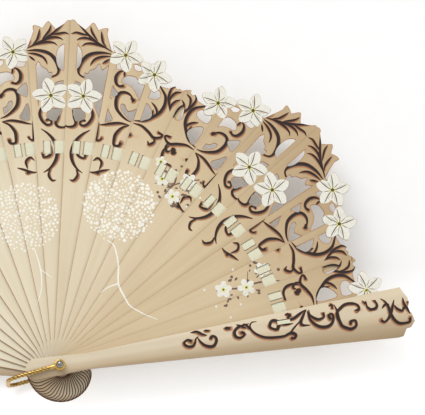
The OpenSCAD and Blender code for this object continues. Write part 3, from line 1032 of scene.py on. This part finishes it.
def ribbon_path(i):
    """The ribbon's run over and under one leaf, from its right end to its left."""
    low, high = heights(leaf_name(i))
    over, under = high + SKIN, low - SKIN
    s0, s1, s2 = (place_x(s) for s in SLITS)
    right, left = place_x(0.04), place_x(0.94)
    if i == 0:
        return [(s2 + 2.2, over), (s2 + 0.2, over), (s2, over - 0.2), (s2, under + 0.2), (s2 - 0.2, under),
                (left, under)]
    if i == LAST:
        return [(right, over), (s0 + 0.2, over), (s0, over - 0.2), (s0, under + 0.2), (s0 - 0.2, under),
                (s0 - 3.4, under)]
    return [(right, over), (s0 + 0.3, over), (s0 - 0.1, under), (s1 + 0.3, under), (s1 - 0.1, over),
            (s2 + 0.3, over), (s2 - 0.1, under), (left, under)]


for leaf in range(LAST + 1):
    turn = leaf_turn(leaf)
    strip = ribbon_object(f"satin_{leaf:02d}", dense(ribbon_path(leaf)), turn)
    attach(strip, leaf_body(leaf))
    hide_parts(f"ribbon_{leaf:02d}")


def bridge(i):
    """The ribbon's step from behind leaf i to the front of the next leaf down."""
    turn_up, turn_down = leaf_turn(i), leaf_turn(i + 1)
    start = to_world([(place_x(0.94), RIBBON_R)], turn_up)[0]
    end = to_world([(place_x(0.04), RIBBON_R)], turn_down)[0]
    z_start = heights(leaf_name(i))[0] - SKIN
    z_end = heights(leaf_name(i + 1))[1] + SKIN
    middle = (turn_up + turn_down) / 2
    a, b = to_world([start], -middle)[0], to_world([end], -middle)[0]
    shift = (a[1] + b[1]) / 2 - RIBBON_R
    steps = 8
    path = []
    for k in range(steps + 1):
        t = k / steps
        ease = t * t * (3 - 2 * t)
        path.append((a[0] + (b[0] - a[0]) * t, z_start + (z_end - z_start) * ease))
    strip = ribbon_object(f"satin_bridge_{i:02d}", path, middle, shift)
    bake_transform(strip)


for leaf in range(LAST):
    bridge(leaf)


# ---- Rivet and washers ------------------------------------------------------
def lathe(name, profile, material, segments=48, smooth=40):
    """A turned piece: (radius, z) points from one end of the axis to the other, or a closed ring."""
    vertices, faces = [], []
    rows = []
    for r, z in profile:
        if r < 1e-6:
            rows.append([len(vertices)] * segments)
            vertices.append((0, 0, z))
        else:
            rows.append([len(vertices) + k for k in range(segments)])
            vertices += [(x, y, z) for x, y in circle((0, 0), r, segments)]
    closed = profile[0][0] > 1e-6
    pairs = list(zip(rows, rows[1:])) + ([(rows[-1], rows[0])] if closed else [])
    for lower, upper in pairs:
        for k in range(segments):
            j = (k + 1) % segments
            faces.append(tuple(dict.fromkeys((lower[k], lower[j], upper[j], upper[k]))))
    vertices = np.array(vertices, float)
    return new_object(name, vertices, faces, [material], None, {"grain": vertices.copy()}, smooth)


def rounded_ring(inner, outer, low, high, bevel):
    """A ring's closed profile with rounded edges, going round counter-clockwise."""
    out = []
    for cx, cz, start in ((outer - bevel, low + bevel, -90), (outer - bevel, high - bevel, 0),
                          (inner + bevel, high - bevel, 90), (inner + bevel, low + bevel, 180)):
        for k in range(5):
            a = math.radians(start + 22.5 * k)
            out.append((cx + bevel * math.cos(a), cz + bevel * math.sin(a)))
    return out


def head_profile(low, high, radius, upwards):
    """A ball head that rises from a flat seat with a small collar."""
    height = high - low
    out = [(0, 0), (1.35, 0), (1.62, 0.12), (1.7, 0.35)]
    for k in range(15):
        a = math.radians(-38 + 128 * k / 14)
        out.append((radius * math.cos(a), height - radius + radius * math.sin(a)))
    out[-1] = (0, height)
    if upwards:
        return [(r, low + z) for r, z in out]
    return [(r, high - z) for r, z in out][::-1]


for node, upwards in (("rivet_head_top", True), ("rivet_head_bottom", False)):
    low, high = heights(node)
    head = lathe(f"polished_{node}", head_profile(low, high, HEAD_R, upwards), STEEL)
    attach(head, "base")
    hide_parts(node)
for node, body in (("washer_top", "front_leaf"), ("washer_bottom", "base")):
    low, high = heights(node)
    ring = lathe(f"gilt_{node}", rounded_ring(BORE_R, WASHER_R, low, high, 0.2), BRASS)
    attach(ring, body)
    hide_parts(node)
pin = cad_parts["rivet_pin"]
pin.data.materials.clear()
PIN_STEEL = metal("pin_steel", (0.62, 0.61, 0.6), (0.4, 0.39, 0.38), 0.3, "position", 0.0, 1000.0)
pin.data.materials.append(PIN_STEEL)


# ---- Shackle ----------------------------------------------------------------
def shackle():
    """A bent bar with a twisted rope pattern between two drilled eyes."""
    low_box, high_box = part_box("shackle")
    low = low_box.z / MM + EYE_T / 2
    high = high_box.z / MM - EYE_T / 2
    reach = SHACKLE_LEN - CORNER_R

    def corner(middle, start):
        return [(reach + CORNER_R * math.cos(a), middle + CORNER_R * math.sin(a))
                for a in (math.radians(start + 5 * k) for k in range(19))]

    path = [(x, low) for x in np.arange(2.4, reach, 0.4)] + corner(low + CORNER_R, -90)
    path += [(SHACKLE_LEN, z) for z in np.arange(low + CORNER_R + 0.4, high - CORNER_R, 0.4)]
    path += corner(high - CORNER_R, 0) + [(x, high) for x in np.arange(reach, 2.3, -0.4)]
    path = np.array(path)
    run = run_along(path)
    places = np.arange(0, run[-1], 0.3)
    path = np.column_stack((np.interp(places, run, path[:, 0]), np.interp(places, run, path[:, 1])))
    normal = normals_of(path)
    sides = 30
    vertices, grain, hollow = [], [], []
    for k, (x, z) in enumerate(path):
        near_end = min(places[k], places[-1] - places[k])
        twist = np.clip((near_end - 2.0) / 2.5, 0, 1)
        for j in range(sides):
            a = 2 * math.pi * j / sides
            strand = abs(math.sin(1.5 * (a + places[k] * 0.95)))
            radius = BAR_R * (1 - 0.2 * twist * (1 - strand) ** 1.5) - 0.05
            out, side = radius * math.cos(a), radius * math.sin(a)
            vertices.append((x + normal[k, 0] * out, side, z + normal[k, 1] * out))
            grain.append((places[k], 3 * math.cos(a), 3 * math.sin(a)))
            hollow.append(twist * (1 - strand) ** 1.2)
    vertices = np.array(vertices)
    vertices[:, :2] = to_world(vertices[:, :2], math.radians(SHACKLE_AT))
    faces = tube_faces(len(path), sides)
    bar = new_object("gilt_shackle", vertices, faces, [BRASS], None, {"grain": grain, "hollow": hollow}, 60)
    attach(bar, "bail")
    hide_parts("shackle")
    for label, centre in (("low", low), ("high", high)):
        profile = rounded_ring(BORE_R, EYE_R, centre - EYE_T / 2, centre + EYE_T / 2, 0.5)
        eye = lathe(f"gilt_eye_{label}", profile, BRASS)
        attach(eye, "bail")


shackle()

# ---- Floor ------------------------------------------------------------------
floor_mesh = bpy.data.meshes.new("floor")
floor_mesh.from_pydata([(-6, -6, 0), (6, -6, 0), (6, 6, 0), (-6, 6, 0)], [], [(0, 1, 2, 3)])
floor = bpy.data.objects.new("floor", floor_mesh)
floor.location.z = -0.0002
floor_mesh.materials.append(floor_material())
bpy.context.scene.collection.objects.link(floor)
